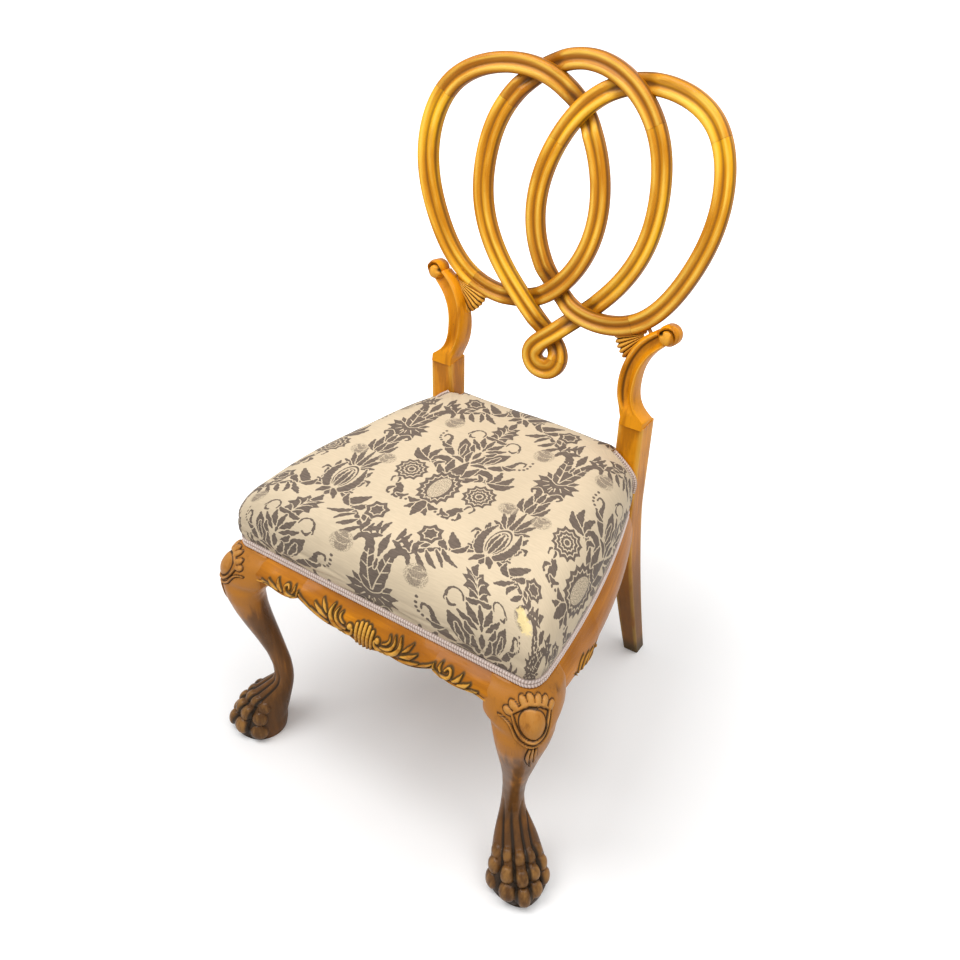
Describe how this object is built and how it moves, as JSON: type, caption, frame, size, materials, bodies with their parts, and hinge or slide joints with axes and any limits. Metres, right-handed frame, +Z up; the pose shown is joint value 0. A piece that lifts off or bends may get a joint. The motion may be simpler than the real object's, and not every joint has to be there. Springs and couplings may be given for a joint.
{
  "type": "ribbon back dining chair",
  "caption": "Carved wooden dining chair with a raked back of interlaced looped ribbons, cabriole front legs on paw feet and a stuffed-over damask seat.",
  "frame": {"origin": "on the floor under the middle of the chair's bounding box", "axes": "+Z up, the chair faces -Y, +X to the right when the chair is seen from its front"},
  "size_m": [0.6234, 0.6123, 1.0187],
  "materials": {
    "honey_wood": "polished golden brown wood",
    "dark_wood": "polished dark brown wood, darker in the carving",
    "peg_wood": "plain pegs inside glue joints",
    "rough_wood": "unpolished corner blocks",
    "damask_cover": "cream cloth with a grey-taupe woven damask",
    "gimp": "pinkish cream braid",
    "jute_web": "woven jute webbing",
    "hessian_cloth": "coarse hessian",
    "hair_stuffing": "curled hair stuffing",
    "screw_steel": "plain wood screws"
  },
  "bodies": {
    "root": {"back_rail": "honey_wood", "corner_block_front_left": "rough_wood", "corner_block_front_right": "rough_wood", "corner_block_rear_left": "rough_wood", "corner_block_rear_right": "rough_wood", "fan_left": "honey_wood", "fan_right": "honey_wood", "front_leg_left": "dark_wood", "front_leg_right": "dark_wood", "front_rail": "honey_wood", "gimp_back": "gimp", "gimp_front": "gimp", "gimp_post_left": "gimp", "gimp_post_right": "gimp", "hessian": "hessian_cloth", "left_loop_crown": "honey_wood", "left_loop_inner": "honey_wood", "left_loop_outer": "honey_wood", "middle_loop_crown": "honey_wood", "middle_loop_curl": "honey_wood", "middle_loop_left": "honey_wood", "middle_loop_right": "honey_wood", "post_peg_left": "peg_wood", "post_peg_right": "peg_wood", "rear_post_left": "honey_wood", "rear_post_right": "honey_wood", "ribbon_peg_1": "peg_wood", "ribbon_peg_2": "peg_wood", "ribbon_peg_3": "peg_wood", "ribbon_peg_4": "peg_wood", "ribbon_peg_5": "peg_wood", "ribbon_peg_6": "peg_wood", "ribbon_peg_7": "peg_wood", "right_loop_crown": "honey_wood", "right_loop_inner": "honey_wood", "right_loop_outer": "honey_wood", "screw_front_left": "screw_steel", "screw_front_right": "screw_steel", "screw_rear_left": "screw_steel", "screw_rear_right": "screw_steel", "seat_cover": "damask_cover", "seat_stuffing": "hair_stuffing", "side_rail_left": "honey_wood", "side_rail_right": "honey_wood", "web_cross_1": "jute_web", "web_cross_2": "jute_web", "web_cross_3": "jute_web", "web_long_1": "jute_web", "web_long_2": "jute_web", "web_long_3": "jute_web"}
  },
  "joints": []
}
